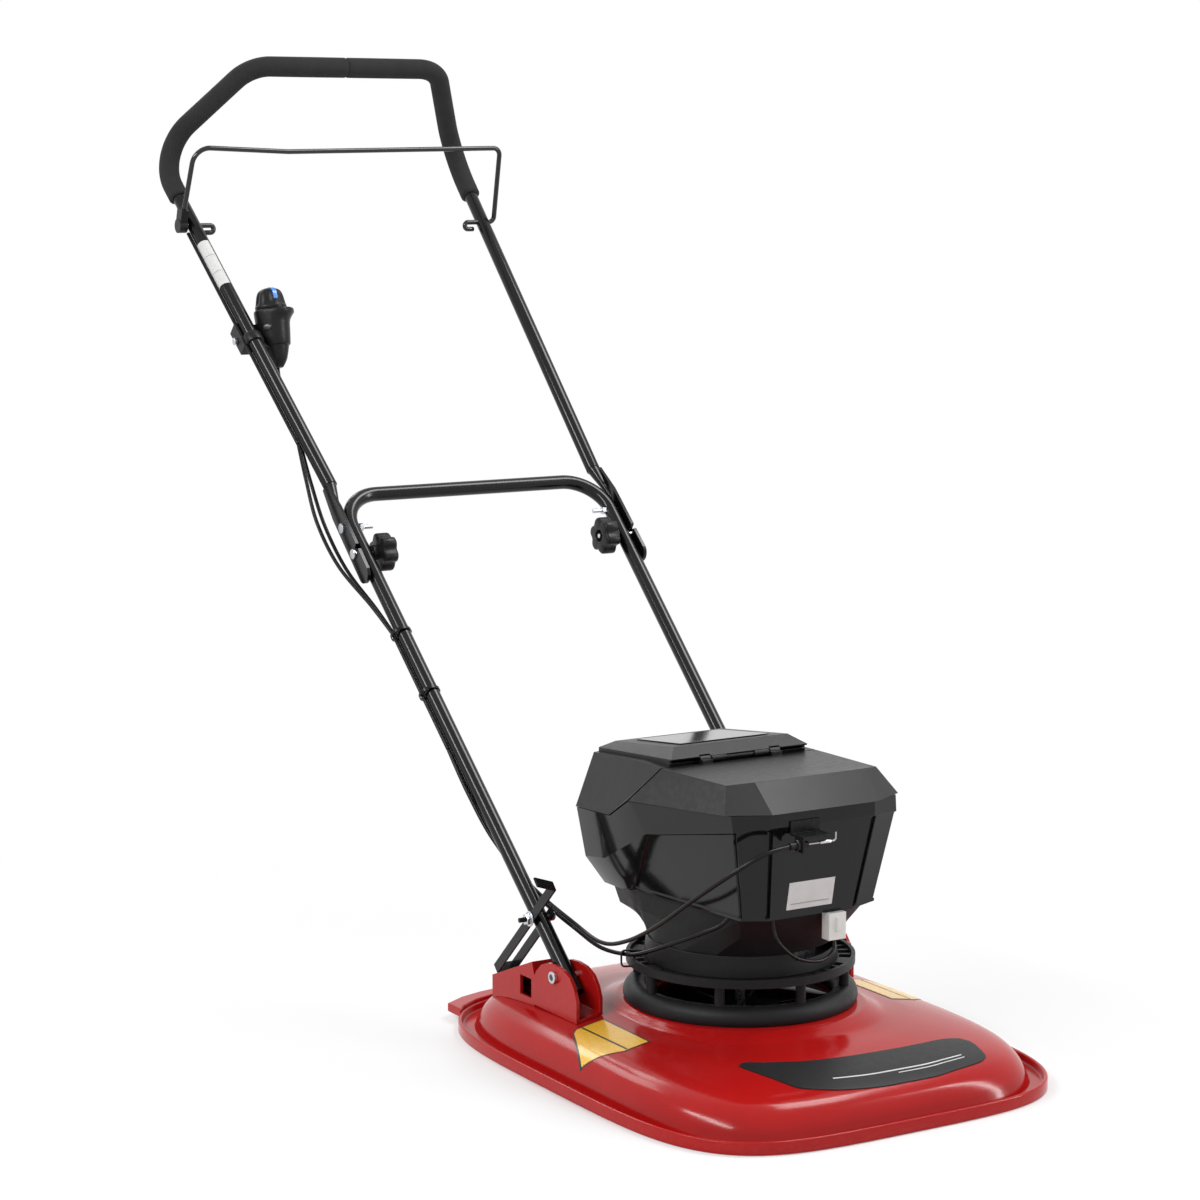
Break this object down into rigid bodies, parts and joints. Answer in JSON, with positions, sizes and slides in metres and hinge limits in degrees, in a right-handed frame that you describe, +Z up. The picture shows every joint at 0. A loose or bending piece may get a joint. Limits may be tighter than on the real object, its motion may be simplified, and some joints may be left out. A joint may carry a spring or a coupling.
{
  "type": "hover mower",
  "caption": "Battery hover mower: moulded skirt deck under a vented motor and battery housing, with a folding tube handle, foam grip, bail, switch pod and control cables.",
  "frame": {"origin": "middle of the footprint on the ground, under the whole mower in its parked pose", "axes": "+Z up, +Y towards the operator, +X towards the operator's left, so the cables and the switch pod are on -X"},
  "size_m": [0.534, 1.466, 1.1932],
  "materials": {
    "red_moulding": "gloss",
    "black_gloss": "gloss",
    "black_satin": "satin",
    "tube_paint": "gloss",
    "foam": "matte foam",
    "zinc": "bright zinc",
    "steel": "satin",
    "laminations": "matte",
    "cable_sheath": "satin",
    "white_plastic": "gloss",
    "blue_plastic": "gloss",
    "pack_shell": "matte",
    "board": "satin"
  },
  "bodies": {
    "base": {"deck": "red_moulding", "rear_skirt": "red_moulding", "front_badge": "black_gloss", "pivot_bracket_near": "red_moulding", "pivot_bracket_far": "red_moulding", "pivot_bolts": "zinc", "intake_lip": "black_gloss", "ring_posts": "black_gloss", "vent_ring": "black_satin", "motor_base": "black_satin", "casing_tray": "black_satin", "lower_casing": "black_gloss", "front_cover": "black_satin", "lid_hinge_pin": "black_satin", "battery_pack": "pack_shell", "battery_terminal": "black_satin", "controller_board": "board", "motor_can": "steel", "motor_stator": "laminations", "shaft_bearings": "steel", "cable_bracket": "black_satin", "barrel_adjuster": "black_satin", "connector": "white_plastic", "connector_lead": "cable_sheath", "bail_cable_arc": "cable_sheath", "switch_cable_arc": "cable_sheath", "ring_tie": "black_satin"},
    "handle": {"lower_handle": "tube_paint", "strut_bolt": "zinc", "fold_bolts": "zinc", "clamp_bolts": "zinc", "lower_cables": "cable_sheath", "cable_ties": "black_satin", "bridge_cables": "cable_sheath"},
    "strut": {"park_strut": "tube_paint"},
    "knob_near": {"knob_near": "black_satin"},
    "knob_far": {"knob_far": "black_satin"},
    "upper": {"upper_handle": "tube_paint", "grip_near": "foam", "grip_far": "foam", "switch_pod": "black_satin", "pod_clamp": "black_satin", "pod_bolt": "zinc", "upper_cables": "cable_sheath"},
    "bail": {"bail": "steel", "bail_cable_block": "black_satin"},
    "pull_wire": {"pull_wire": "steel"},
    "switch": {"switch_knob": "black_satin", "switch_mark": "blue_plastic"},
    "lid": {"battery_lid": "black_satin", "lid_panel": "black_gloss"},
    "spindle": {"motor_rotor": "laminations", "motor_shaft": "steel", "impeller": "black_satin", "cutter_blade": "steel", "blade_bolt": "zinc"}
  },
  "joints": [
    {"name": "handle_pivot", "type": "hinge", "parent": "base", "child": "handle", "pos_m": [0, -0.29398, 0.099], "axis": [1, 0, 0], "range_deg": [0, 40], "deforming": ["bail_cable_arc", "switch_cable_arc"]},
    {"name": "strut_pivot", "type": "hinge", "parent": "handle", "child": "strut", "pos_m": [-0.1829, -0.23224, 0.15596], "axis": [1, 0, 0], "range_deg": [0, 35]},
    {"name": "near_knob_turn", "type": "hinge", "parent": "handle", "child": "knob_near", "pos_m": [0, 0.19254, 0.54794], "axis": [1, 0, 0], "continuous": true},
    {"name": "far_knob_turn", "type": "hinge", "parent": "handle", "child": "knob_far", "pos_m": [0, 0.19254, 0.54794], "axis": [1, 0, 0], "continuous": true},
    {"name": "upper_fold", "type": "hinge", "parent": "handle", "child": "upper", "pos_m": [0, 0.22487, 0.57778], "axis": [1, 0, 0], "range_deg": [0, 130], "deforming": ["bridge_cables"]},
    {"name": "bail_pull", "type": "hinge", "parent": "upper", "child": "bail", "pos_m": [0, 0.63936, 0.96026], "axis": [-1, 0, 0], "range_deg": [0, 45], "stiffness_Nm_per_rad": 1.2, "springref_deg": -20.05},
    {"name": "wire_slide", "type": "slide", "parent": "base", "child": "pull_wire", "axis": [-1, 0, 0], "range_m": [0, 0.00786]},
    {"name": "switch_turn", "type": "hinge", "parent": "upper", "child": "switch", "pos_m": [-0.17818, 0.4831, 0.7698], "axis": [0, 0.23, 0.9732], "range_deg": [0, 60]},
    {"name": "lid_hinge", "type": "hinge", "parent": "base", "child": "lid", "pos_m": [0, -0.38362, 0.36055], "axis": [1, 0, 0], "range_deg": [0, 60]},
    {"name": "spindle_turn", "type": "hinge", "parent": "base", "child": "spindle", "pos_m": [0, -0.38898, 0.022], "axis": [0, 0, 1], "continuous": true}
  ],
  "couplings": [
    {"joint": "wire_slide", "follows": "bail_pull", "m_per_rad": 0.01}
  ]
}
